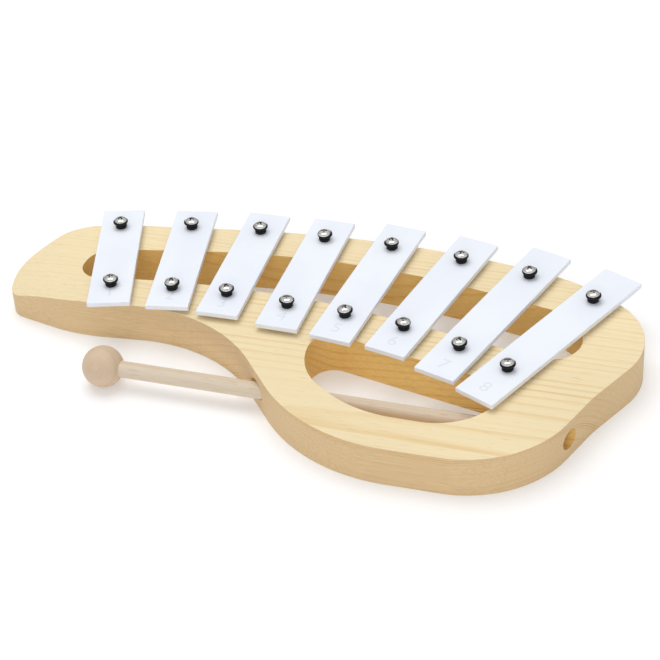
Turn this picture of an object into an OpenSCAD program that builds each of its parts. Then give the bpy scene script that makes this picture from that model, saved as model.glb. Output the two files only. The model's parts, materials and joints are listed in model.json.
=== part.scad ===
// Eight-note bar chime on a shaped pine board, with its mallet stored in the board.
// Millimetres. X runs along the board to the wide bowl end, Y to the arched back, Z up.
// The origin is under the middle of the whole instrument, on the surface that it rests on.

/* [Board] */
// Length of the board, from the tail to the bowl
board_l = 316; // [304:1:380]
// Depth of the board, from the front of the bowl to the crown of the back
board_w = 152; // [144:1:184]
// Thickness of the board
board_t = 21; // [21:0.5:26]
// Radius of the soft fall of the top towards the tail's front corner
tail_fall_r = 82; // [66:1:100]
// Place of the bore across the board, from the origin, before any stretch
bore_y = -42.5; // [-44:0.5:-41]

/* [Bars] */
// Width of every bar
bar_w = 21; // [17.5:0.5:25.5]
// Thickness of every bar
bar_t = 2.5; // [2:0.1:4]
// Clear height between the board and the bars
bar_gap = 2; // [1.5:0.1:4]
// Length of bar 1, the highest note
bar_1_l = 79.5; // [76:0.5:96]
// Length of bar 2
bar_2_l = 81.5; // [78:0.5:98]
// Length of bar 3
bar_3_l = 86; // [80:0.5:104]
// Length of bar 4
bar_4_l = 91; // [82:0.5:110]
// Length of bar 5
bar_5_l = 97; // [84:0.5:117]
// Length of bar 6
bar_6_l = 99; // [85:0.5:119]
// Length of bar 7
bar_7_l = 110; // [92:0.5:132]
// Length of bar 8, the lowest note
bar_8_l = 116; // [96:0.5:140]

/* [Screws] */
// Diameter of the screw shank
screw_d = 3; // [2.5:0.1:3.5]
// Length of the screw under its head
screw_l = 20; // [17:0.5:22]
// Diameter of the domed head
screw_head_d = 6.4; // [5.2:0.1:7]
// Height of the head's straight rim
screw_rim_h = 0.5; // [0.3:0.1:1]
// Height of the dome on the rim
screw_dome_h = 1.4; // [1:0.1:2]

/* [Rubber sleeves and cushions] */
// Diameter of the sleeve's top flange, under the screw head
flange_d = 7.4; // [6.6:0.1:9]
// Thickness of the top flange
flange_t = 1; // [0.6:0.1:1.5]
// Diameter of the waist between flange and collar
waist_d = 4.8; // [4.2:0.1:5.4]
// Height of the waist
waist_h = 1.2; // [0.8:0.1:2]
// Diameter of the collar that stands on the bar
collar_d = 5.6; // [5.5:0.1:7]
// Height of the collar
collar_h = 1.6; // [1:0.1:2.5]
// Diameter of the neck that passes through the bar
neck_d = 4.4; // [4.2:0.1:5.4]
// Diameter of the cushion ring under the bar
cushion_d = 8; // [7:0.5:10]

/* [Mallet] */
// Diameter of the ball head
head_d = 20; // [16:0.5:20]
// Diameter of the stick
stick_d = 8; // [6:0.1:9.6]
// Length of the stick
stick_l = 200; // [180:1:220]
// Depth of the stick's socket in the head
socket_depth = 12; // [9:0.5:14]
// Play of the stick in its bore, all round
bore_play = 1; // [0.8:0.1:1.5]
// Distance that the stored mallet lies below the middle of its bore
mallet_drop = 0.3; // [0:0.05:0.4]
// Angle of the stored mallet to its bore, in degrees
mallet_lean = 0.5; // [0:0.1:0.5]

/* [Hidden] */
// Sizes that the outlines and places below are drawn for
drawn_l = 316;
drawn_w = 152;
drawn_bar_w = 21;
stretch_x = board_l / drawn_l;
stretch_y = board_w / drawn_w;
bar_spread = bar_w - drawn_bar_w;      // added between neighbouring bars

// Gaps, each on the radius or on one side
screw_gap = 0.05;      // screw shank in sleeve and cushion
pilot_gap = 0.03;      // screw shank in the board
neck_gap = 0.1;        // sleeve neck in the bar's hole
glue_gap = 0.03;       // stick in the head's socket

// Small shapes
curve_flat = 0.03;     // furthest that a straight step lies from the true curve
pilot_spare = 1.5;     // depth of the pilot hole past the screw's tip
tip_h = 3;             // height of the screw's point
tip_d = 0.6;           // diameter at the end of the point
recess_l = 3.2;        // span of the cross recess
recess_w = 0.8;        // width of each arm of the recess
recess_depth = 1;      // depth of the recess from the dome's top
stick_chamfer = 0.8;   // chamfer on the stick's free end
past = 1;              // how far a cut runs past the face that it leaves

// Fall of the tail's top: which way it runs, turned from bar 1's own axes, and where it starts
tail_fall_turn = 198.5;
tail_flat_margin = 4.5;    // flat wood kept between bar 1's front cushion and the fall
tail_fall_crest = 0.05;    // height of the fall's circle above the top face, where the two cross

// Board outline as corners [x, y, radius], anticlockwise from the tail's front
board_corners = [
    [-156.5, -3.5, 10],    // tail, front
    [-117.5, -12, 89],     // handle, front
    [-45, -4, 78],         // hollow of the neck
    [21.5, -81.5, 84],     // bowl, left
    [123, -80, 53],        // bowl, right
    [143, -23.5, 45],      // slight waist of the right side
    [168, 28.5, 37],       // right shoulder
    [120.5, 61.5, 108],    // shoulder into the back
    [16, 76.5, 476],       // arched back
    [-110.5, 56.5, 84],    // back into the tail
    [-140, 49, 28],        // tail, back
    [-159.5, 13.5, 24]     // tail, left side
];

// Sound slot under the bars, in the same form
slot_corners = [
    [-124.5, 7.5, 9.5],
    [-26.5, 23, 420],
    [132, -5, 15],
    [127.5, 32.5, 24],
    [2.5, 57, 397],
    [-123.5, 32, 14]
];

// Hand hole in the bowl, in the same form
hand_hole_corners = [
    [6.5, -36, 32],
    [40, -59, 60],
    [94.5, -59, 33],
    [106.5, -25.5, 9],
    [6, -5.5, 11]
];

// Each bar's middle and how far it is turned: [x, y, degrees]
bar_places = [
    [-108, 23.5, 16.5],
    [-75, 29.5, 10],
    [-43.5, 32.5, 1.5],
    [-11, 32, -0.5],
    [21, 32, -6],
    [54, 29, -12],
    [86, 22.5, -16.5],
    [115.5, 11.5, -24]
];
bar_lengths = [bar_1_l, bar_2_l, bar_3_l, bar_4_l, bar_5_l, bar_6_l, bar_7_l, bar_8_l];

// Distance between a bar's two screws, which stand either side of the slot
screw_spacing = [50, 52, 54, 57, 59, 60, 65, 66];
bar_count = len(bar_places);

// Heights of the stack on each screw, from the board up
bar_z = board_t + bar_gap;
collar_z = bar_z + bar_t;
waist_z = collar_z + collar_h;
flange_z = waist_z + waist_h;
head_z = flange_z + flange_t;
tip_z = head_z - screw_l;

// Mallet: its bore, and where it is stored
drawn_bore_middle_x = 61;              // the stored mallet is turned about this point of the bore
drawn_stick_end_x = 109.5;             // free end of the stick, inside the bowl's right wall
bore_d = stick_d + 2 * bore_play;
bore_z = board_t / 2;
bore_start_x = -board_l / 4;           // in the open air beside the neck
bore_middle_x = drawn_bore_middle_x * stretch_x;
bore_line_y = bore_y * stretch_y;
stick_end_x = drawn_stick_end_x * stretch_x;
head_x = stick_end_x - stick_l + socket_depth - head_d / 2;

// Colours
pine = [0.95, 0.87, 0.67];
white_paint = [0.95, 0.96, 0.98];
black_rubber = [0.09, 0.09, 0.1];
nickel = [0.78, 0.77, 0.75];
beech = [0.82, 0.67, 0.53];
birch = [0.93, 0.86, 0.75];

// The two ends of a bar, and the pieces that each end's screw holds
ends = ["front", "back"];
stack = ["screw", "sleeve", "cushion"];

// A direction of length 1
function unit(v) = v / norm(v);

// Number of straight steps that keep an arc within curve_flat of its true curve
function arc_steps(r, turn) = max(2, ceil(turn / (2 * acos(1 - curve_flat / r))));

// The arc that rounds one corner, from the side that comes in to the side that goes out
function corner_arc(before, corner, after) =
    let (
        place = [corner.x, corner.y],
        in_side = unit([before.x, before.y] - place),
        out_side = unit([after.x, after.y] - place),
        half = acos(in_side * out_side) / 2,
        centre = place + unit(in_side + out_side) * corner.z / sin(half),
        first = place + in_side * corner.z / tan(half) - centre,
        last = place + out_side * corner.z / tan(half) - centre,
        turn = acos(unit(first) * unit(last)),
        way = sign(cross(first, last)),
        steps = arc_steps(corner.z, turn)
    )
    [
        for (k = [0 : steps])
            let (a = way * turn * k / steps)
            centre + [
                first.x * cos(a) - first.y * sin(a),
                first.x * sin(a) + first.y * cos(a)
            ]
    ];

// A closed outline from its rounded corners, stretched to the board's size
function rounded_outline(corners) =
    let (n = len(corners))
    [
        for (i = [0 : n - 1])
            each [
                for (p = corner_arc(corners[(i + n - 1) % n], corners[i], corners[(i + 1) % n]))
                    [p.x * stretch_x, p.y * stretch_y]
            ]
    ];

// Puts its children at bar i, with Y along the bar
module at_bar(i) {
    place = bar_places[i - 1];
    from_middle = i - (bar_count + 1) / 2;
    translate([place.x * stretch_x + from_middle * bar_spread, place.y * stretch_y, 0])
        rotate([0, 0, place.z])
            children();
}

// Puts its children at the screw in one end of bar i
module at_screw(i, end) {
    reach = screw_spacing[i - 1] * stretch_y / 2;
    at_bar(i)
        translate([0, end == "back" ? reach : -reach, 0])
            children();
}

// Puts its children on the stored mallet's axis, with X along it from the bore's middle
module on_mallet_axis() {
    translate([bore_middle_x, bore_line_y, bore_z - mallet_drop])
        rotate([0, 0, mallet_lean])
            translate([-bore_middle_x, 0, 0])
                rotate([0, 90, 0])
                    children();
}

// What is cut off the top of the tail, above the soft fall past bar 1's front cushion
module above_tail_fall() {
    at_screw(1, "front")
        rotate([0, 0, tail_fall_turn])
            translate([cushion_d / 2 + tail_flat_margin, 0, board_t + tail_fall_crest - tail_fall_r])
                difference() {
                    translate([0, -board_l / 2, 0])
                        cube([tail_fall_r + past, board_l, tail_fall_r + past]);
                    rotate([90, 0, 0])
                        cylinder(h = board_l + 2 * past, r = tail_fall_r, center = true, $fn = 180);
                }
}

// Pine board with its slot, hand hole, mallet bore and pilot holes
module board() {
    color(pine)
    difference() {
        linear_extrude(board_t)
            difference() {
                polygon(rounded_outline(board_corners));
                polygon(rounded_outline(slot_corners));
                polygon(rounded_outline(hand_hole_corners));
            }
        above_tail_fall();
        translate([bore_start_x, bore_line_y, bore_z])
            rotate([0, 90, 0])
                cylinder(h = board_l, d = bore_d, $fn = 64);
        for (i = [1 : bar_count])
            for (end = ends)
                at_screw(i, end)
                    translate([0, 0, tip_z - pilot_spare])
                        cylinder(h = board_t - tip_z + pilot_spare + past, d = screw_d + 2 * pilot_gap, $fn = 32);
    }
}

// One painted metal bar with its two sleeve holes
module bar(i) {
    length = bar_lengths[i - 1];
    color(white_paint)
    difference() {
        at_bar(i)
            translate([-bar_w / 2, -length / 2, bar_z])
                cube([bar_w, length, bar_t]);
        for (end = ends)
            at_screw(i, end)
                translate([0, 0, bar_z - past])
                    cylinder(h = bar_t + 2 * past, d = neck_d + 2 * neck_gap, $fn = 32);
    }
}

// One domed cross-recess wood screw
module screw(i, end) {
    dome_r = (pow(screw_head_d / 2, 2) + pow(screw_dome_h, 2)) / (2 * screw_dome_h);
    head_top = head_z + screw_rim_h + screw_dome_h;
    color(nickel)
    at_screw(i, end)
    difference() {
        union() {
            intersection() {
                translate([0, 0, head_z])
                    cylinder(h = head_top - head_z, d = screw_head_d, $fn = 48);
                translate([0, 0, head_top - dome_r])
                    sphere(r = dome_r, $fn = 48);
            }
            translate([0, 0, tip_z + tip_h])
                cylinder(h = screw_l - tip_h, d = screw_d, $fn = 32);
            translate([0, 0, tip_z])
                cylinder(h = tip_h, d1 = tip_d, d2 = screw_d, $fn = 32);
        }
        for (turn = [0, 90])
            translate([0, 0, head_top - recess_depth])
                rotate([0, 0, turn])
                    translate([-recess_l / 2, -recess_w / 2, 0])
                        cube([recess_l, recess_w, recess_depth + past]);
    }
}

// One rubber sleeve: its neck lies in the bar, its collar, waist and flange above the bar
module sleeve(i, end) {
    color(black_rubber)
    at_screw(i, end)
        difference() {
            union() {
                translate([0, 0, bar_z])
                    cylinder(h = head_z - bar_z, d = neck_d, $fn = 32);
                translate([0, 0, collar_z])
                    cylinder(h = collar_h, d = collar_d, $fn = 32);
                translate([0, 0, waist_z])
                    cylinder(h = waist_h, d = waist_d, $fn = 32);
                translate([0, 0, flange_z])
                    cylinder(h = flange_t, d = flange_d, $fn = 32);
            }
            translate([0, 0, bar_z - past])
                cylinder(h = head_z - bar_z + 2 * past, d = screw_d + 2 * screw_gap, $fn = 32);
        }
}

// One rubber ring that carries the bar clear of the board
module cushion(i, end) {
    color(black_rubber)
    at_screw(i, end)
        translate([0, 0, board_t])
            difference() {
                cylinder(h = bar_gap, d = cushion_d, $fn = 32);
                translate([0, 0, -past])
                    cylinder(h = bar_gap + 2 * past, d = screw_d + 2 * screw_gap, $fn = 32);
            }
}

// Ball head of the mallet, with a blind socket for the stick
module mallet_head() {
    socket_d = stick_d + 2 * glue_gap;
    mouth_x = head_x + head_d / 2;
    color(beech)
    on_mallet_axis()
        difference() {
            translate([0, 0, head_x])
                sphere(d = head_d, $fn = 96);
            translate([0, 0, mouth_x - socket_depth])
                cylinder(h = socket_depth + past, d = socket_d, $fn = 48);
        }
}

// Straight round stick of the mallet. A long cone, one in one, cuts the chamfer on its free end
module mallet_stick() {
    free_end_d = stick_d - 2 * stick_chamfer;
    color(birch)
    on_mallet_axis()
        translate([0, 0, stick_end_x - stick_l])
            intersection() {
                cylinder(h = stick_l, d = stick_d, $fn = 48);
                cylinder(h = stick_l, d1 = free_end_d + 2 * stick_l, d2 = free_end_d, $fn = 48);
            }
}

board();
mallet_head();
mallet_stick();
for (i = [1 : bar_count]) {
    bar(i);
    for (end = ends) {
        place = str("bar_", i, "_", end);
        screw(i, end);
        sleeve(i, end);
        cushion(i, end);
    }
}
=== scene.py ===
import json
import math
import random

import bmesh
import bpy
from mathutils import Matrix, Vector


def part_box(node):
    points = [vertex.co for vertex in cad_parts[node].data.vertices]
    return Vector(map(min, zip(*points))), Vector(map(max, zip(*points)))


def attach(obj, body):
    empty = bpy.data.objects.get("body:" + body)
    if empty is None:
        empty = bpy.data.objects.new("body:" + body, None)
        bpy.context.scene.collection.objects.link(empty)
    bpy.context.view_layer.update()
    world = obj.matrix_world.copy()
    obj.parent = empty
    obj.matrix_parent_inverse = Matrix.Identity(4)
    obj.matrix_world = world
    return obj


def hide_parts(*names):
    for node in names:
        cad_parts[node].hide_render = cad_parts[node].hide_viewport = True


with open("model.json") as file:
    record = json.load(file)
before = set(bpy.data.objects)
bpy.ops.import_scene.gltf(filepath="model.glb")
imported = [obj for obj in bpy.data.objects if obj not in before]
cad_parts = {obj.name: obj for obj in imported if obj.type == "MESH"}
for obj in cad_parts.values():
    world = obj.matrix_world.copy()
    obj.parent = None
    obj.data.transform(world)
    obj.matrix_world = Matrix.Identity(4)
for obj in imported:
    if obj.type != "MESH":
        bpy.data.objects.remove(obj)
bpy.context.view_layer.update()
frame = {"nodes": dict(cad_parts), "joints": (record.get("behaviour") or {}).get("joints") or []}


# ---------------------------------------------------------------- Camera
# A long lens, held low over the front of the bowl and turned a little towards the tail.
# It looks at the middle of the bars from a bit under a metre away.
view_point = Vector((0.0145, -0.0100, 0.02557))
view_distance = 0.94719
view_azimuth = math.radians(19.9)
view_elevation = math.radians(37.212)
view_roll = math.radians(-3.737)
lens_mm = 110.05
sensor_mm = 36
clip_near = 0.01
clip_far = 50

camera_data = bpy.data.cameras.new("camera")
camera_data.lens = lens_mm
camera_data.sensor_width = sensor_mm
camera_data.clip_start = clip_near
camera_data.clip_end = clip_far
camera = bpy.data.objects.new("camera", camera_data)
bpy.context.scene.collection.objects.link(camera)
camera_turn = (
    Matrix.Rotation(view_azimuth, 4, "Z")
    @ Matrix.Rotation(math.pi / 2 - view_elevation, 4, "X")
    @ Matrix.Rotation(view_roll, 4, "Z")
)
camera_back = camera_turn @ Vector((0, 0, view_distance))
camera.matrix_world = Matrix.Translation(view_point + camera_back) @ camera_turn
bpy.context.scene.camera = camera


# ---------------------------------------------------------------- Floor and light
# A white paper sheet and a softly lit room, bright overhead and dimmer towards the walls. A big soft
# light stands behind on the left, a weak one lifts the front, and a strip above shines in the screws.
floor_half = 6.0
floor_glow = 0.24
floor_rough = 0.9
floor_gloss = 0.1
strip_depth = 0.7
room_low = (0.42, 0.42, 0.43)
room_high = (0.97, 0.985, 1.0)
room_low_at = 0.05
room_high_at = 0.75
room_strength = 0.68
backdrop_grey = (0.72, 0.72, 0.73)


def linear(red, green, blue):
    """A colour given as screen values from 0 to 255, as the linear colour that a shader takes."""
    parts = [value / 255 for value in (red, green, blue)]
    return tuple(v / 12.92 if v <= 0.04045 else ((v + 0.055) / 1.055) ** 2.4 for v in parts)


def new_finish(name):
    """A new material, its node tree and its shader."""
    material = bpy.data.materials.new(name)
    material.use_nodes = True
    return material, material.node_tree, material.node_tree.nodes["Principled BSDF"]


floor_white = linear(229, 229, 230)
floor_form = bmesh.new()
bmesh.ops.create_grid(floor_form, x_segments=1, y_segments=1, size=floor_half)
floor_mesh = bpy.data.meshes.new("floor")
floor_form.to_mesh(floor_mesh)
floor_form.free()
floor = bpy.data.objects.new("floor", floor_mesh)
bpy.context.scene.collection.objects.link(floor)
floor_paper, _, floor_shader = new_finish("floor_paper")
floor_shader.inputs["Base Color"].default_value = (*floor_white, 1)
floor_shader.inputs["Roughness"].default_value = floor_rough
floor_shader.inputs["Specular IOR Level"].default_value = floor_gloss
floor_shader.inputs["Emission Color"].default_value = (1, 1, 1, 1)
floor_shader.inputs["Emission Strength"].default_value = floor_glow
floor_mesh.materials.append(floor_paper)


def soft_light(name, place, size, watts, colour):
    """A square light that faces the middle of the instrument. Sizes are metres."""
    data = bpy.data.lights.new(name, "AREA")
    data.shape = "SQUARE"
    data.size = size
    data.energy = watts
    data.color = colour
    light = bpy.data.objects.new(name, data)
    bpy.context.scene.collection.objects.link(light)
    light.location = place
    light.rotation_euler = (view_point - light.location).to_track_quat("-Z", "Y").to_euler()
    return light


overhead_light = soft_light(
    "overhead_light", place=Vector((-0.55, 0.55, 2.6)), size=2.1, watts=33, colour=(1.0, 0.99, 0.975),
)
overhead_light.visible_glossy = False
soft_light("front_light", place=Vector((0.5, -2.7, 1.3)), size=1.6, watts=18, colour=(0.99, 0.99, 1.0))
strip_light = soft_light(
    "strip_light", place=Vector((0.0, -0.1, 2.4)), size=2.6, watts=12, colour=(1.0, 1.0, 1.0),
)
strip_light.data.shape = "RECTANGLE"
strip_light.data.size_y = strip_depth
strip_light.rotation_euler = (0, 0, view_azimuth)
strip_light.visible_diffuse = False


def add(tree, kind, inputs=None, **settings):
    """A new shader node. Each input is a value, or the output that feeds it."""
    made = tree.nodes.new("ShaderNode" + kind)
    for name, value in settings.items():
        setattr(made, name, value)
    for name, value in (inputs or {}).items():
        if isinstance(value, bpy.types.NodeSocket):
            tree.links.new(value, made.inputs[name])
        else:
            made.inputs[name].default_value = value
    return made


room = bpy.data.worlds.new("room")
room.use_nodes = True
room_tree = room.node_tree
room_light = room_tree.nodes["Background"]
room_way = add(room_tree, "TexCoord").outputs["Generated"]
room_rise = add(room_tree, "SeparateXYZ", {0: room_way}).outputs["Z"]
room_shade = add(room_tree, "ValToRGB", {0: room_rise})
room_shade.color_ramp.interpolation = "EASE"
room_shade.color_ramp.elements[0].position = room_low_at
room_shade.color_ramp.elements[0].color = (*room_low, 1)
room_shade.color_ramp.elements[1].position = room_high_at
room_shade.color_ramp.elements[1].color = (*room_high, 1)
room_tree.links.new(room_shade.outputs["Color"], room_light.inputs["Color"])
room_light.inputs["Strength"].default_value = room_strength

# The camera sees a plain pale backdrop, and the ramp only lights the scene
camera_ray = add(room_tree, "LightPath").outputs["Is Camera Ray"]
backdrop = add(room_tree, "Background", {"Color": (*backdrop_grey, 1)})
seen_room = add(room_tree, "MixShader", {0: camera_ray, 1: room_light.outputs[0], 2: backdrop.outputs[0]})
room_tree.links.new(seen_room.outputs[0], room_tree.nodes["World Output"].inputs["Surface"])
bpy.context.scene.world = room
bpy.context.scene.view_settings.view_transform = "Standard"


# ---------------------------------------------------------------- Board
# One flat-sawn plank of pale pine, cut to shape, bored for the mallet and sanded smooth.
# Its arrises are rounded over. Its sides are darker than its top and the cut walls of its openings warmer,
# partly the sawn wood's own colour and saw burn, partly painted shade.
board_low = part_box("board")[0]
arris_r = 0.0014
arris_steps = 4
mouth_arris_r = 0.0003
mouth_steps = 2
outline_least = 0.05
mouth_least = 0.005
merge_gap = 1e-6
flat_angle = math.radians(0.2)
sharp_angle = math.radians(40)
smooth_angle = math.radians(35)
upright_normal = 0.7


def merged_form(node):
    """A bmesh of a CAD node with its loose triangles joined and its flat faces made whole."""
    form = bmesh.new()
    form.from_mesh(frame["nodes"][node].data)
    bmesh.ops.remove_doubles(form, verts=form.verts, dist=merge_gap)
    bmesh.ops.dissolve_limit(form, angle_limit=flat_angle, verts=form.verts, edges=form.edges)
    return form


def sharp_edges(form):
    """The edges at which a form's surface turns sharply."""
    return [e for e in form.edges if len(e.link_faces) == 2 and e.calc_face_angle(0) > sharp_angle]


def edge_loops(edges):
    """Edges gathered into the loops that they make, always in the same order."""
    left = dict.fromkeys(edges)
    loops = []
    while left:
        loop = [next(iter(left))]
        left.pop(loop[0])
        for edge in loop:
            for neighbour in [n for vert in edge.verts for n in vert.link_edges]:
                if neighbour in left:
                    left.pop(neighbour)
                    loop.append(neighbour)
        loops.append(loop)
    return loops


def round_off(form, edges, radius, steps):
    """Rounds edges over."""
    bmesh.ops.bevel(
        form, geom=edges, offset=radius, offset_type="OFFSET", affect="EDGES",
        segments=steps, profile=0.5, material=-1, clamp_overlap=True,
    )


def loop_spread(loop):
    """How far a loop of edges reaches along X, Y and Z."""
    points = [vert.co for edge in loop for vert in edge.verts]
    return Vector([max(p[k] for p in points) - min(p[k] for p in points) for k in range(3)])


def finished_piece(form, name, material, slot, body, *nodes):
    """Makes a form into a piece that stands for CAD nodes and rides on their body."""
    mesh = bpy.data.meshes.new(name)
    form.to_mesh(mesh)
    form.free()
    for layer in ("custom_normal", "sharp_face", "sharp_edge"):
        if layer in mesh.attributes:
            mesh.attributes.remove(mesh.attributes[layer])
    mesh.shade_smooth()
    mesh.set_sharp_from_angle(angle=smooth_angle)
    mesh.materials.clear()
    mesh.materials.append(material)
    piece = bpy.data.objects.new(name, mesh)
    bpy.context.scene.collection.objects.link(piece)
    even = piece.modifiers.new("even_normals", "WEIGHTED_NORMAL")
    even.keep_sharp = True
    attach(piece, body)
    if nodes:
        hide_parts(*nodes)


def calc(tree, operation, *values):
    """The result of a Math node."""
    return add(tree, "Math", dict(enumerate(values)), operation=operation).outputs[0]


def soft_step(tree, value, start, end, low=0.0, high=1.0):
    """A value that rises softly from low to high as another goes from start to end."""
    ends = {"Value": value, "From Min": start, "From Max": end, "To Min": low, "To Max": high}
    return add(tree, "MapRange", ends, interpolation_type="SMOOTHSTEP").outputs["Result"]


def blended(tree, share, first, second, blend="MIX"):
    """Two colours mixed by a share."""
    inputs = {0: share, 6: first, 7: second}
    return add(tree, "Mix", inputs, data_type="RGBA", blend_type=blend).outputs[2]


def noise(tree, place, stretch, detail=2.0):
    """Noise that repeats stretch times a metre along each axis."""
    scaled = add(tree, "VectorMath", {0: place, 1: stretch}, operation="MULTIPLY").outputs[0]
    return add(tree, "TexNoise", {"Vector": scaled, "Scale": 1.0, "Detail": detail}).outputs["Fac"]


# The figure of a piece of wood: growth rings round a pith that runs along X, and fibres along it.
# Stretches are repeats a metre, along the log and then across it.
slow_stretch = (3, 24, 24)
quick_stretch = (18, 150, 150)
quick_share = 0.12
patch_stretch = (7, 30, 30)
patch_least = 0.25
tone_stretch = (5, 16, 16)
fibre_along = 24.0
fleck_along = 110.0
late_start = 0.50
late_full = 0.88
late_end = 0.90
year_least = 0.10
year_step = 0.73
dry_boost = 8.0

wood_figure = bpy.data.node_groups.new("wood_figure", "ShaderNodeTree")
for name, kind in (
    ("Place", "Vector"), ("Ring Width", "Float"), ("Wander", "Float"), ("Fibre Width", "Float"),
    ("Dry Start", "Float"), ("Dry End", "Float"), ("Dry Rings", "Float"),
):
    wood_figure.interface.new_socket(name=name, in_out="INPUT", socket_type="NodeSocket" + kind)
for name in ("Rings", "Fibres", "Flecks", "Tone"):
    wood_figure.interface.new_socket(name=name, in_out="OUTPUT", socket_type="NodeSocketFloat")
figure_in = wood_figure.nodes.new("NodeGroupInput").outputs
figure_out = wood_figure.nodes.new("NodeGroupOutput").inputs
figure_place = figure_in["Place"]

# The rings wander, and a few more of them crowd in where dry years lie
figure_axes = add(wood_figure, "SeparateXYZ", {0: figure_place}).outputs
slow_wander = calc(wood_figure, "SUBTRACT", noise(wood_figure, figure_place, slow_stretch), 0.5)
quick_wander = calc(wood_figure, "SUBTRACT", noise(wood_figure, figure_place, quick_stretch), 0.5)
both_wander = calc(wood_figure, "MULTIPLY_ADD", quick_wander, quick_share, slow_wander)
pith_reach = calc(
    wood_figure, "SQRT",
    calc(
        wood_figure, "ADD",
        calc(wood_figure, "MULTIPLY", figure_axes["Y"], figure_axes["Y"]),
        calc(wood_figure, "MULTIPLY", figure_axes["Z"], figure_axes["Z"]),
    ),
)
bent_reach = calc(wood_figure, "MULTIPLY_ADD", both_wander, figure_in["Wander"], pith_reach)
even_count = calc(wood_figure, "DIVIDE", bent_reach, figure_in["Ring Width"])
dry_share = add(
    wood_figure, "MapRange",
    {"Value": bent_reach, "From Min": figure_in["Dry Start"], "From Max": figure_in["Dry End"]},
).outputs["Result"]
ring_count = calc(wood_figure, "MULTIPLY_ADD", dry_share, figure_in["Dry Rings"], even_count)

# Each ring darkens slowly through its summer wood and ends at once, and some years are stronger
ring_share = calc(wood_figure, "FRACT", ring_count)
ring_number = calc(wood_figure, "FLOOR", ring_count)
late_wood = calc(
    wood_figure, "MULTIPLY",
    soft_step(wood_figure, ring_share, late_start, late_full),
    soft_step(wood_figure, ring_share, late_end, 1.0, 1.0, 0.0),
)
ring_noise = add(
    wood_figure, "TexNoise",
    {"W": calc(wood_figure, "MULTIPLY", ring_number, year_step), "Scale": 1.0, "Detail": 0.0},
    noise_dimensions="1D",
).outputs["Fac"]
dry_strength = calc(wood_figure, "MULTIPLY", calc(wood_figure, "PINGPONG", dry_share, 0.5), dry_boost)
even_strength = soft_step(wood_figure, ring_noise, 0.34, 0.62, year_least, 1.0)
year_strength = calc(wood_figure, "ADD", even_strength, dry_strength)
patch_noise = noise(wood_figure, figure_place, patch_stretch)
patch_strength = soft_step(wood_figure, patch_noise, 0.36, 0.60, patch_least, 1.0)
ring_depth = calc(wood_figure, "MULTIPLY", year_strength, patch_strength)

# Fibres and flecks are fine across the grain and long along it
fibre_scale = calc(wood_figure, "DIVIDE", 1.0, figure_in["Fibre Width"])
fibre_stretch = add(wood_figure, "CombineXYZ", {0: fibre_along, 1: fibre_scale, 2: fibre_scale}).outputs[0]
fleck_stretch = add(wood_figure, "CombineXYZ", {0: fleck_along, 1: fibre_scale, 2: fibre_scale}).outputs[0]
fleck_noise = noise(wood_figure, figure_place, fleck_stretch, 1.0)
for output, value in (
    ("Rings", calc(wood_figure, "MULTIPLY", late_wood, ring_depth)),
    ("Fibres", noise(wood_figure, figure_place, fibre_stretch, 3.0)),
    ("Flecks", soft_step(wood_figure, fleck_noise, 0.64, 0.74)),
    ("Tone", noise(wood_figure, figure_place, tone_stretch)),
):
    wood_figure.links.new(value, figure_out[output])


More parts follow.
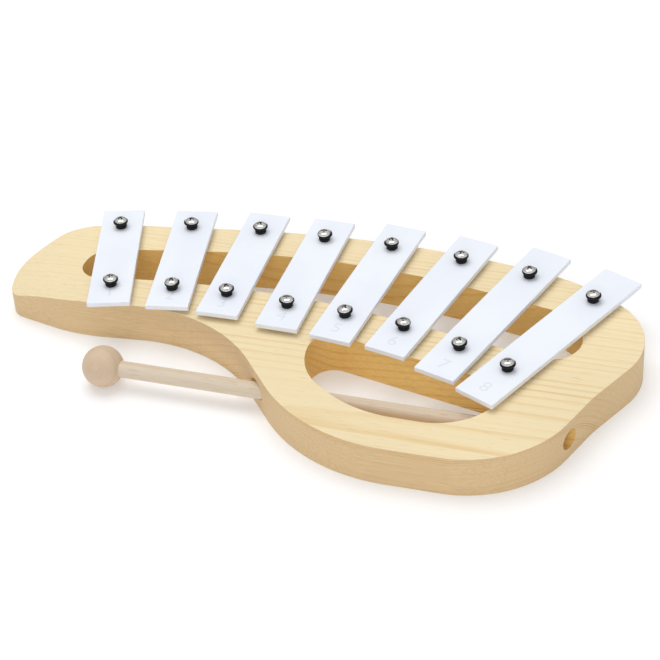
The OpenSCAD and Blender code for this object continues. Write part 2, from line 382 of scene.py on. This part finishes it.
def wood(name, pith, turn, rings, fibre_w, colours, tints, strengths, rough, calm=(-1.0, -0.9)):
    """Bare sanded wood with its pith through a point.

    Dry years start and end at a reach from the pith, and their rings crowd in there. Colours are
    of the faces, the sides and cut walls. Tints are of late wood and flecks, and strengths of
    rings, fibres and flecks. The figure is calm up to one place along X, and full from another.
    """
    calm_share = 0.35
    side_quiet = 0.45
    cut_quiet = 0.10
    flat_quiet = 0.65
    side_fibre = 1.4
    tone_strength = 0.16
    rough_spread = 0.06
    grain_depth = 0.00006
    face, side, cut = [(*colour, 1) for colour in colours]
    late, fleck = [(*tint, 1) for tint in tints]
    ring_strength, fibre_strength, fleck_strength = strengths
    material, tree, shader = new_finish(name)
    where = add(tree, "TexCoord").outputs
    from_pith = [-value for value in pith]
    shifted = add(tree, "VectorMath", {0: where["Object"], 1: from_pith}, operation="ADD").outputs[0]
    figure = add(tree, "Group", node_tree=wood_figure)
    place = add(tree, "Mapping", {"Vector": shifted, "Rotation": turn}).outputs[0]
    tree.links.new(place, figure.inputs["Place"])
    for socket, value in rings.items():
        figure.inputs[socket].default_value = value
    figure.inputs["Fibre Width"].default_value = fibre_w
    ring, fibre, flecks, tone = [figure.outputs[k] for k in ("Rings", "Fibres", "Flecks", "Tone")]
    # Sides and cut walls take their own colours; for the pine these are partly painted shade, darker on the
    # sides and warmer on the cut walls
    facing = add(tree, "SeparateXYZ", {0: where["Normal"]}).outputs
    on_side = soft_step(tree, calc(tree, "ABSOLUTE", facing["Z"]), 0.15, 0.85, 1.0, 0.0)
    on_cut = add(tree, "Attribute", attribute_name="cut_wall").outputs["Fac"]
    ground = blended(tree, on_cut, blended(tree, on_side, face, side), cut)
    along = add(tree, "SeparateXYZ", {0: where["Object"]}).outputs["X"]
    ring_strength = soft_step(tree, along, *calm, calm_share * ring_strength, ring_strength)

    # Rings show less on sanded end grain, on cut walls, and where the face lies flat along them
    on_sawn = calc(tree, "SUBTRACT", on_side, on_cut)
    shown = calc(tree, "MULTIPLY_ADD", on_cut, -cut_quiet, 1.0)
    shown = calc(tree, "MULTIPLY_ADD", on_sawn, -side_quiet, shown)
    from_heart = add(tree, "SeparateXYZ", {0: place}).outputs
    lean = calc(tree, "ABSOLUTE", calc(tree, "DIVIDE", from_heart["Y"], from_heart["Z"]))
    flat_cut = calc(tree, "SUBTRACT", 1.0, calc(tree, "MAXIMUM", soft_step(tree, lean, 0.15, 0.60), on_side))
    shown = calc(tree, "MULTIPLY", shown, calc(tree, "MULTIPLY_ADD", flat_cut, -flat_quiet, 1.0))
    quiet = calc(tree, "MULTIPLY", ring_strength, shown)
    ringed = blended(tree, calc(tree, "MULTIPLY", ring, quiet), ground, late, "MULTIPLY")
    flecked = blended(tree, calc(tree, "MULTIPLY", flecks, fleck_strength), ringed, fleck, "MULTIPLY")

    coarse = calc(tree, "MULTIPLY_ADD", on_side, side_fibre * fibre_strength, fibre_strength)
    light = calc(tree, "MULTIPLY_ADD", calc(tree, "SUBTRACT", fibre, 0.5), coarse, 1.0)
    light = calc(tree, "MULTIPLY_ADD", calc(tree, "SUBTRACT", tone, 0.5), tone_strength, light)
    shade = add(tree, "CombineColor", {0: light, 1: light, 2: light}).outputs[0]
    tree.links.new(blended(tree, 1.0, flecked, shade, "MULTIPLY"), shader.inputs["Base Color"])
    dulled = soft_step(tree, fibre, 0.3, 0.7, rough - rough_spread, rough + rough_spread)
    tree.links.new(dulled, shader.inputs["Roughness"])
    shader.inputs["Specular IOR Level"].default_value = 0.35
    height = calc(tree, "MULTIPLY_ADD", ring, 0.5, fibre)
    bump = add(tree, "Bump", {"Strength": 0.35, "Distance": grain_depth, "Height": height})
    tree.links.new(bump.outputs["Normal"], shader.inputs["Normal"])
    return material


pine = wood(
    "pine", pith=(0, board_low.y + 0.014, -0.0401), turn=(0, math.radians(0.3), math.radians(-0.8)),
    rings={"Ring Width": 0.0027, "Wander": 0.0026, "Dry Start": 0.0584, "Dry End": 0.0620, "Dry Rings": 2},
    fibre_w=0.0006,
    # The side colour is darker than the top partly as painted shade, and the cut-wall colour is warmer
    # partly as painted shade of light bounced inside the openings, the rest being the sawn wood's colour and
    # saw burn
    colours=(linear(240, 221, 180), linear(220, 190, 144), linear(234, 194, 117)),
    tints=((0.84, 0.65, 0.36), (0.60, 0.44, 0.28)), strengths=(0.62, 0.16, 0.24), rough=0.55,
    calm=(-0.120, -0.060),
)

board_form = merged_form("board")
board_loops = edge_loops(sharp_edges(board_form))
wide_loops = [loop for loop in board_loops if loop_spread(loop).x > outline_least]
mouth_loops = [loop for loop in board_loops if loop not in wide_loops and loop_spread(loop).z > mouth_least]
mouth_points = [vert.co for edge in mouth_loops[0] for vert in edge.verts]
bore_r = loop_spread(mouth_loops[0]).z / 2
bore_y, bore_z = [(max(p[k] for p in mouth_points) + min(p[k] for p in mouth_points)) / 2 for k in (1, 2)]
outline = [
    [vert.co.to_2d() for vert in edge.verts]
    for edge in max(wide_loops, key=lambda loop: loop_spread(loop).x)
]
round_off(board_form, [e for loop in mouth_loops for e in loop], mouth_arris_r, mouth_steps)
round_off(board_form, [e for loop in wide_loops for e in loop], arris_r, arris_steps)


def edge_distance(point):
    """How far a point of the board is from its outline, seen from above."""
    nearest = 1.0
    for start, end in outline:
        way = end - start
        share = min(max((point - start).dot(way) / way.length_squared, 0), 1)
        nearest = min(nearest, (point - start - share * way).length)
    return nearest


# Marks the walls that the saw and the drill left inside the outline, which take the warmer cut-wall colour:
# partly saw burn, partly painted shade
cut_wall = board_form.faces.layers.float.new("cut_wall")
board_form.normal_update()
for face in board_form.faces:
    middle = face.calc_center_median()
    on_wall = abs(face.normal.z) < upright_normal and edge_distance(middle.to_2d()) > 2 * arris_r
    from_bore = math.hypot(middle.y - bore_y, middle.z - bore_z)
    on_bore = abs(face.normal.x) < upright_normal and from_bore < bore_r + mouth_arris_r / 2
    face[cut_wall] = on_wall or on_bore
finished_piece(board_form, "pine_board", pine, "pine", "frame", "board")


# ---------------------------------------------------------------- Rubber cushions
# Soft black rings under each end of every bar, which let the bar ring and hold it clear of the wood.
# Their sides bulge a little under the screw's pull.
cushion_bulge = 0.0003
cushion_rim_r = 0.0003
cushion_rim_steps = 3
rubber_black = (0.006, 0.006, 0.0065)
dust_grey = (0.013, 0.013, 0.014)
bar_numbers = range(1, 9)
bar_ends = ("front", "back")
shank_r = 0.0015
shank_gap = 0.00005
turn_steps = 48
pole_gap = 1e-7


def rubber(name, colour, dust_colour, rough):
    """Black moulded rubber with a fine dull skin and a little dust."""
    skin_stretch = (2600, 2600, 2600)
    dust_stretch = (420, 420, 420)
    bump_depth = 0.00003
    material, tree, shader = new_finish(name)
    where = add(tree, "TexCoord").outputs["Object"]
    skin = noise(tree, where, skin_stretch, 3.0)
    dust = noise(tree, where, dust_stretch, 3.0)
    dusted = blended(tree, soft_step(tree, dust, 0.45, 0.75), (*colour, 1), (*dust_colour, 1))
    tree.links.new(dusted, shader.inputs["Base Color"])
    tree.links.new(soft_step(tree, dust, 0.3, 0.7, rough - 0.06, rough + 0.1), shader.inputs["Roughness"])
    bump = add(tree, "Bump", {"Strength": 0.25, "Distance": bump_depth, "Height": skin})
    tree.links.new(bump.outputs["Normal"], shader.inputs["Normal"])
    shader.inputs["Specular IOR Level"].default_value = 0.22
    return material


def turned_form(outline_points):
    """A closed outline of [radius, height] points, turned once round the Z axis."""
    form = bmesh.new()
    verts = [form.verts.new((radius, 0, height)) for radius, height in outline_points]
    edges = [form.edges.new((verts[k - 1], verts[k])) for k in range(len(verts))]
    bmesh.ops.spin(
        form, geom=verts + edges, cent=(0, 0, 0), axis=(0, 0, 1), dvec=(0, 0, 0),
        angle=2 * math.pi, steps=turn_steps, use_merge=True,
    )
    bmesh.ops.remove_doubles(form, verts=form.verts, dist=pole_gap)
    bmesh.ops.recalc_face_normals(form, faces=form.faces)
    return form


def plan_middle(node):
    """The middle of a CAD node, seen from above, as a move away from the Z axis."""
    low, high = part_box(node)
    return ((low + high) / 2).to_2d().to_3d()


def rims(form, radius):
    """The ring edges of a turned form that lie at a radius."""
    return [
        e for e in form.edges
        if abs(e.verts[0].co.z - e.verts[1].co.z) < pole_gap
        and all(abs(v.co.to_2d().length - radius) < merge_gap for v in e.verts)
    ]


black_rubber = rubber("black_rubber", rubber_black, dust_grey, rough=0.46)

for number in bar_numbers:
    for end in bar_ends:
        node = f"bar_{number}_{end}_cushion"
        low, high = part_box(node)
        outer = (high.x - low.x) / 2 - cushion_bulge
        cushion_form = turned_form([
            (shank_r + shank_gap, low.z), (outer, low.z), (outer + cushion_bulge, (low.z + high.z) / 2),
            (outer, high.z), (shank_r + shank_gap, high.z),
        ])
        round_off(cushion_form, rims(cushion_form, outer), cushion_rim_r, cushion_rim_steps)
        bmesh.ops.translate(cushion_form, verts=cushion_form.verts, vec=plan_middle(node))
        finished_piece(
            cushion_form, f"cushion_{number}_{end}", black_rubber, "black_rubber", "frame", node,
        )


# ---------------------------------------------------------------- Bars
# Eight flat metal bars, sheared to length, drilled and coated with white paint.
# The paint rounds their edges a little, and a plain number is raised near each front end, in a slightly
# greyer white that is painted shade for its faint relief.
bar_edge_r = 0.00030
bar_edge_steps = 3
bar_hole_edge_r = 0.00012
bar_hole_edge_steps = 2
number_h = 0.0068
number_raised = 0.00005
number_inset = 0.0085
digit_share = 0.7
hole_most = 0.008
outer_least = 0.02


def paint(name, dull, bright):
    """Satin white enamel with a slight orange peel, between two shades."""
    peel_stretch = (700, 700, 700)
    cloud_stretch = (30, 30, 30)
    peel_depth = 0.00008
    material, tree, shader = new_finish(name)
    where = add(tree, "TexCoord").outputs["Object"]
    peel = noise(tree, where, peel_stretch)
    cloud = noise(tree, where, cloud_stretch, 3.0)
    colour = blended(tree, soft_step(tree, cloud, 0.35, 0.65), (*dull, 1), (*bright, 1))
    tree.links.new(colour, shader.inputs["Base Color"])
    tree.links.new(soft_step(tree, cloud, 0.3, 0.7, 0.36, 0.46), shader.inputs["Roughness"])
    bump = add(tree, "Bump", {"Strength": 0.12, "Distance": peel_depth, "Height": peel})
    tree.links.new(bump.outputs["Normal"], shader.inputs["Normal"])
    return material


white_paint = paint("white_paint", linear(238, 242, 251), linear(242, 246, 253))
# A slightly greyer white for the numbers: painted shade standing in for the shading round their faint relief
shaded_number_paint = paint("shaded_number_paint", linear(226, 230, 240), linear(230, 234, 243))


def bar_place(number):
    """A bar's middle on its top face, and the direction along it from front to back."""
    front, back = [plan_middle(f"bar_{number}_{end}_screw") for end in bar_ends]
    top = Vector((0, 0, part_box(f"bar_{number}")[1].z))
    return (front + back) / 2 + top, (back - front).normalized()


for number in bar_numbers:
    node = f"bar_{number}"
    bar_form = merged_form(node)
    middle, along = bar_place(number)
    bar_loops = edge_loops(sharp_edges(bar_form))
    hole_edges = [e for loop in bar_loops if loop_spread(loop).length < hole_most for e in loop]
    outer_edges = [e for loop in bar_loops if loop_spread(loop).length > outer_least for e in loop]
    round_off(bar_form, hole_edges, bar_hole_edge_r, bar_hole_edge_steps)
    round_off(bar_form, outer_edges, bar_edge_r, bar_edge_steps)
    reach = max(abs((v.co - middle).dot(along)) for v in bar_form.verts)
    finished_piece(bar_form, f"painted_bar_{number}", white_paint, "white_paint", "frame", node)

    digit_curve = bpy.data.curves.new(f"number_{number}", "FONT")
    digit_curve.body = str(number)
    digit_curve.size = number_h / digit_share
    digit_curve.align_x = "CENTER"
    digit_curve.align_y = "CENTER"
    digit_curve.extrude = number_raised
    digit = bpy.data.objects.new("digit", digit_curve)
    bpy.context.scene.collection.objects.link(digit)
    bpy.context.view_layer.update()
    solid_digit = digit.evaluated_get(bpy.context.evaluated_depsgraph_get())
    digit_mesh = bpy.data.meshes.new_from_object(solid_digit)
    bpy.data.objects.remove(digit)
    digit_form = bmesh.new()
    digit_form.from_mesh(digit_mesh)
    bpy.data.meshes.remove(digit_mesh)
    turn = Matrix.Rotation(math.atan2(-along.x, along.y), 4, "Z")
    spot = middle - along * (reach - number_inset)
    bmesh.ops.transform(digit_form, matrix=Matrix.Translation(spot) @ turn, verts=digit_form.verts)
    finished_piece(digit_form, f"bar_number_{number}", shaded_number_paint, "white_paint", "frame")


# ---------------------------------------------------------------- Rubber sleeves
# Black grommets pushed through the bars. A flange lies under the screw head, a collar stands on the
# bar, and a thin neck lines the bar's hole. Each flange sits a little askew, as soft rubber does.
flange_t = 0.0010
waist_h = 0.0012
waist_r = 0.0024
collar_r = 0.0028
neck_r = 0.0022
sleeve_rim_r = 0.0003
sleeve_rim_steps = 3
askew_angle = math.radians(5)
askew_shift = 0.00035
stiff_share = 0.2
chance = random.Random(8)


def ease(value, start, end):
    """0 before start and 1 after end, with a soft rise between them."""
    share = min(max((value - start) / (end - start), 0), 1)
    return share * share * (3 - 2 * share)


for number in bar_numbers:
    bar_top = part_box(f"bar_{number}")[1].z
    for end in bar_ends:
        node = f"bar_{number}_{end}_sleeve"
        low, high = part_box(node)
        flange_r = (high.x - low.x) / 2
        flange_low = high.z - flange_t
        collar_high = flange_low - waist_h
        sleeve_form = turned_form([
            (shank_r + shank_gap, low.z), (neck_r, low.z), (neck_r, bar_top), (collar_r, bar_top),
            (collar_r, collar_high), (waist_r, collar_high), (waist_r, flange_low),
            (flange_r, flange_low), (flange_r, high.z), (shank_r + shank_gap, high.z),
        ])
        for radius in (collar_r, waist_r, flange_r):
            round_off(sleeve_form, rims(sleeve_form, radius), sleeve_rim_r, sleeve_rim_steps)
        heading = chance.uniform(0, 2 * math.pi)
        askew_way = Vector((math.cos(heading), math.sin(heading), 0))
        tilt = Matrix.Rotation(chance.uniform(0.3, 1) * askew_angle, 3, askew_way)
        shift = askew_way * chance.uniform(0.2, 1) * askew_shift
        pivot = Vector((0, 0, flange_low))
        for vert in sleeve_form.verts:
            share = ease(vert.co.z, collar_high + stiff_share * waist_h, flange_low)
            moved = tilt @ (vert.co - pivot) + pivot + shift
            vert.co = vert.co.lerp(moved, share)
        bmesh.ops.translate(sleeve_form, verts=sleeve_form.verts, vec=plan_middle(node))
        finished_piece(
            sleeve_form, f"sleeve_{number}_{end}", black_rubber, "black_rubber", "frame", node,
        )


# ---------------------------------------------------------------- Screws
# Nickel-plated wood screws with domed heads and a cross recess, each turned to its own angle.
# The recess is deepest in the middle, and its arms rise to nothing towards the rim. Its floor is painted
# dark, as painted shade in the recess.
recess_l = 0.0031
recess_w = 0.0008
recess_depth = 0.0011
recess_least = 0.00012
recess_rise = 0.62
recess_taper = 0.86
rim_h = 0.0005
tip_h = 0.0030
tip_r = 0.0003
nickel_bright = (0.84, 0.82, 0.79)
nickel_dull = (0.70, 0.68, 0.65)
nickel_stretch = (900, 900, 900)
# Dark colour put on the recess floor as painted shade
recess_shade_colour = (0.05, 0.05, 0.05)
recess_shade_share = 0.8
dome_rings = 64
cut_gap = 1e-8

nickel, nickel_tree, nickel_shader = new_finish("nickel")
nickel_where = add(nickel_tree, "TexCoord").outputs["Object"]
nickel_cloud = noise(nickel_tree, nickel_where, nickel_stretch, 3.0)
nickel_dulled = soft_step(nickel_tree, nickel_cloud, 0.35, 0.7)
nickel_colour = blended(nickel_tree, nickel_dulled, (*nickel_bright, 1), (*nickel_dull, 1))
# The recess floor is darkened: painted shade in the recess
nickel_sunk = add(nickel_tree, "Attribute", attribute_name="painted_recess_shade").outputs["Fac"]
nickel_recess_shade = calc(nickel_tree, "MULTIPLY", recess_shade_share, nickel_sunk)
nickel_colour = blended(nickel_tree, nickel_recess_shade, nickel_colour, (*recess_shade_colour, 1))
nickel_tree.links.new(nickel_colour, nickel_shader.inputs["Base Color"])
nickel_rough = soft_step(nickel_tree, nickel_cloud, 0.3, 0.7, 0.10, 0.18)
nickel_tree.links.new(nickel_rough, nickel_shader.inputs["Roughness"])
nickel_shader.inputs["Metallic"].default_value = 1.0


def screw_form(head_r, dome_h, head_low, tip):
    """A domed screw on the Z axis, with a cross recess in its head."""
    dome_r = (head_r ** 2 + dome_h ** 2) / (2 * dome_h)
    head_high = head_low + rim_h + dome_h
    form = bmesh.new()
    bmesh.ops.create_uvsphere(form, u_segments=turn_steps, v_segments=dome_rings, radius=dome_r)
    bmesh.ops.translate(form, verts=form.verts, vec=(0, 0, head_high - dome_r))
    bmesh.ops.bisect_plane(
        form, geom=form.verts[:] + form.edges[:] + form.faces[:], plane_co=(0, 0, head_low + rim_h),
        plane_no=(0, 0, 1), clear_inner=True, dist=cut_gap,
    )
    for axis in (Vector((1, 0, 0)), Vector((0, 1, 0))):
        for reach in (recess_w / 2, recess_l / 2):
            for side in (-reach, reach):
                bmesh.ops.bisect_plane(
                    form, geom=form.verts[:] + form.edges[:] + form.faces[:],
                    plane_co=axis * side, plane_no=axis, dist=cut_gap,
                )
    cross = []
    for face in form.faces:
        off_axes = [abs(value) for value in face.calc_center_median().to_2d()]
        if min(off_axes) < recess_w / 2 and max(off_axes) < recess_l / 2:
            cross.append(face)
    # Marks the recess floor for its painted shade
    painted_recess_shade = form.verts.layers.float.new("painted_recess_shade")
    sunk = bmesh.ops.extrude_face_region(form, geom=cross)["geom"]
    bmesh.ops.delete(form, geom=[f for f in cross if f.is_valid], context="FACES")
    for vert in [v for v in sunk if isinstance(v, bmesh.types.BMVert)]:
        out = max(abs(vert.co.x), abs(vert.co.y)) / (recess_l / 2)
        vert.co.z = head_high - recess_depth * (1 - recess_rise * out * out) - recess_least
        vert.co.xy *= recess_taper
        vert[painted_recess_shade] = 1
    rim = [e for e in form.edges if e.is_boundary]
    for radius, height in (
        (head_r, head_low), (shank_r, head_low), (shank_r, tip + tip_h), (tip_r, tip),
    ):
        grown = bmesh.ops.extrude_edge_only(form, edges=rim)["geom"]
        for vert in [v for v in grown if isinstance(v, bmesh.types.BMVert)]:
            vert.co = (vert.co.to_2d().normalized() * radius).to_3d() + Vector((0, 0, height))
        rim = [e for e in grown if isinstance(e, bmesh.types.BMEdge)]
    bmesh.ops.holes_fill(form, edges=rim, sides=0)
    bmesh.ops.recalc_face_normals(form, faces=form.faces)
    return form


for number in bar_numbers:
    for end in bar_ends:
        node = f"bar_{number}_{end}_screw"
        low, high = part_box(node)
        head_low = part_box(f"bar_{number}_{end}_sleeve")[1].z
        form = screw_form((high.x - low.x) / 2, high.z - head_low - rim_h, head_low, low.z)
        turn = Matrix.Rotation(chance.uniform(0, math.pi / 2), 3, "Z")
        bmesh.ops.rotate(form, verts=form.verts, cent=(0, 0, 0), matrix=turn)
        bmesh.ops.translate(form, verts=form.verts, vec=plan_middle(node))
        finished_piece(form, f"screw_{number}_{end}", nickel, "nickel", "frame", node)


# ---------------------------------------------------------------- Mallet
# A turned beech ball glued on the end of a birch stick, stored in the board's bore.
# The ball's socket has a slightly eased lip, and the stick's ends are rounded over.
socket_depth = 0.012
socket_r = 0.0040
lip_r = 0.00015
lip_steps = 2
lip_least = 0.005
stick_end_r = 0.0008
stick_end_steps = 4
ball_segments = 96
ball_rings = 64
stick_segments = 64
beech_colour = linear(213, 189, 162)
birch_colour = linear(219, 203, 181)

slide = [joint for joint in frame["joints"] if joint["name"] == "mallet_slide"][0]
outward = Vector(slide["axis"]).normalized()
ball_low, ball_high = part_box("mallet_head")
ball_middle = (ball_low + ball_high) / 2
ball_r = (ball_high.z - ball_low.z) / 2
stick_turn = (-outward).to_track_quat("Z", "Y").to_matrix().to_4x4()

beech = wood(
    "beech", pith=ball_middle + Vector((0, 0.018, -0.012)), turn=(0, 0, 0),
    rings={"Ring Width": 0.0040, "Wander": 0.004, "Dry Start": 0, "Dry End": 1, "Dry Rings": 0},
    fibre_w=0.00035, colours=(beech_colour,) * 3,
    tints=((0.86, 0.76, 0.66), (0.62, 0.48, 0.38)), strengths=(0.45, 0.22, 0.5), rough=0.55,
)
birch = wood(
    "birch", pith=ball_middle + Vector((0, -0.010, -0.014)), turn=(0, 0, 0),
    rings={"Ring Width": 0.0030, "Wander": 0.003, "Dry Start": 0, "Dry End": 1, "Dry Rings": 0},
    fibre_w=0.0004, colours=(birch_colour,) * 3,
    tints=((0.90, 0.78, 0.66), (0.66, 0.50, 0.36)), strengths=(0.6, 0.12, 0.5), rough=0.55,
)

mouth_reach = math.sqrt(ball_r ** 2 - socket_r ** 2)
ball_form = bmesh.new()
bmesh.ops.create_uvsphere(ball_form, u_segments=ball_segments, v_segments=ball_rings, radius=ball_r)
bmesh.ops.bisect_plane(
    ball_form, geom=ball_form.verts[:] + ball_form.edges[:] + ball_form.faces[:],
    plane_co=(0, 0, mouth_reach), plane_no=(0, 0, 1), clear_outer=True, dist=pole_gap,
)
mouth = [e for e in ball_form.edges if e.is_boundary]
socket = bmesh.ops.extrude_edge_only(ball_form, edges=mouth)["geom"]
socket_verts = [g for g in socket if isinstance(g, bmesh.types.BMVert)]
bmesh.ops.translate(ball_form, verts=socket_verts, vec=(0, 0, ball_r - socket_depth - mouth_reach))
bmesh.ops.holes_fill(ball_form, edges=[g for g in socket if isinstance(g, bmesh.types.BMEdge)], sides=0)
bmesh.ops.recalc_face_normals(ball_form, faces=ball_form.faces)
lip = [e for e in sharp_edges(ball_form) if e.verts[0].co.z > lip_least]
round_off(ball_form, lip, lip_r, lip_steps)
bmesh.ops.transform(ball_form, matrix=Matrix.Translation(ball_middle) @ stick_turn, verts=ball_form.verts)
finished_piece(ball_form, "mallet_ball", beech, "beech", "mallet", "mallet_head")

stick_low, stick_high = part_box("mallet_stick")
stick_middle = (stick_low + stick_high) / 2
stick_l = (stick_high.x - stick_low.x) / abs(outward.x)
stick_form = bmesh.new()
bmesh.ops.create_cone(
    stick_form, cap_ends=True, segments=stick_segments,
    radius1=socket_r, radius2=socket_r, depth=stick_l,
)
stick_ends = [e for e in stick_form.edges if abs(e.verts[0].co.z - e.verts[1].co.z) < pole_gap]
round_off(stick_form, stick_ends, stick_end_r, stick_end_steps)
bmesh.ops.transform(stick_form, matrix=Matrix.Translation(stick_middle) @ stick_turn, verts=stick_form.verts)
finished_piece(stick_form, "mallet_rod", birch, "birch", "mallet", "mallet_stick")
